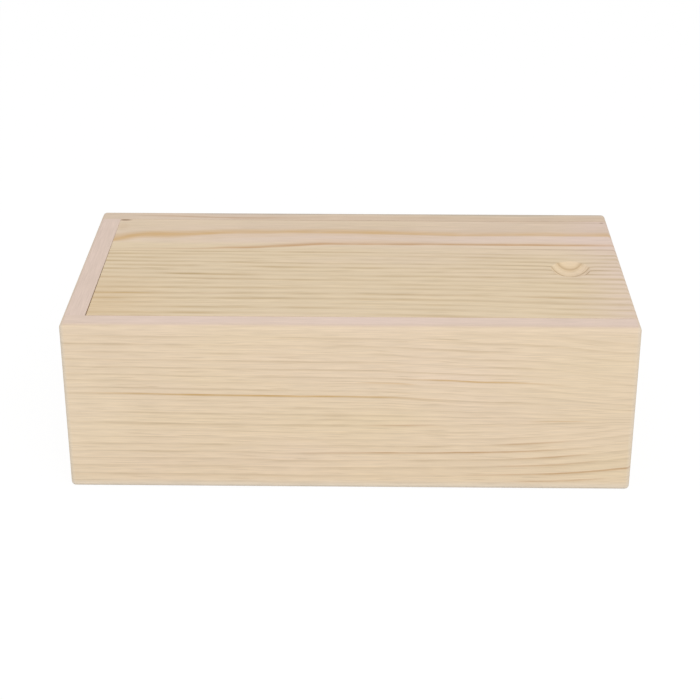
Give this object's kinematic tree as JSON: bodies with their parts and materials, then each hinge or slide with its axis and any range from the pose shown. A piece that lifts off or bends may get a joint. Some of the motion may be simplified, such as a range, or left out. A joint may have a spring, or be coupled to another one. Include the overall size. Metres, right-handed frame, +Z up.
{
  "type": "sliding lid wooden box",
  "caption": "Long low pine box with a flat lid, level with the walls, that slides out lengthwise in grooves and has a round thumb scoop near its open end.",
  "frame": {"origin": "middle of the box's footprint, on the surface that it stands on", "axes": "+X along the box, towards the end where the lid slides out; +Y from the front to the back; +Z up"},
  "size_m": [0.25, 0.134, 0.08],
  "materials": {
    "pine_wall": "sanded, unfinished",
    "pine_panel": "sanded, unfinished",
    "pine_lid": "sanded, unfinished"
  },
  "bodies": {
    "box": {"front_wall": "pine_wall", "back_wall": "pine_wall", "left_end_wall": "pine_wall", "right_end_wall": "pine_wall", "bottom_panel": "pine_panel"},
    "lid": {"lid": "pine_lid"}
  },
  "joints": [
    {"name": "lid_slide", "type": "slide", "parent": "box", "child": "lid", "axis": [1, 0, 0], "range_m": [0, 0.245]}
  ]
}
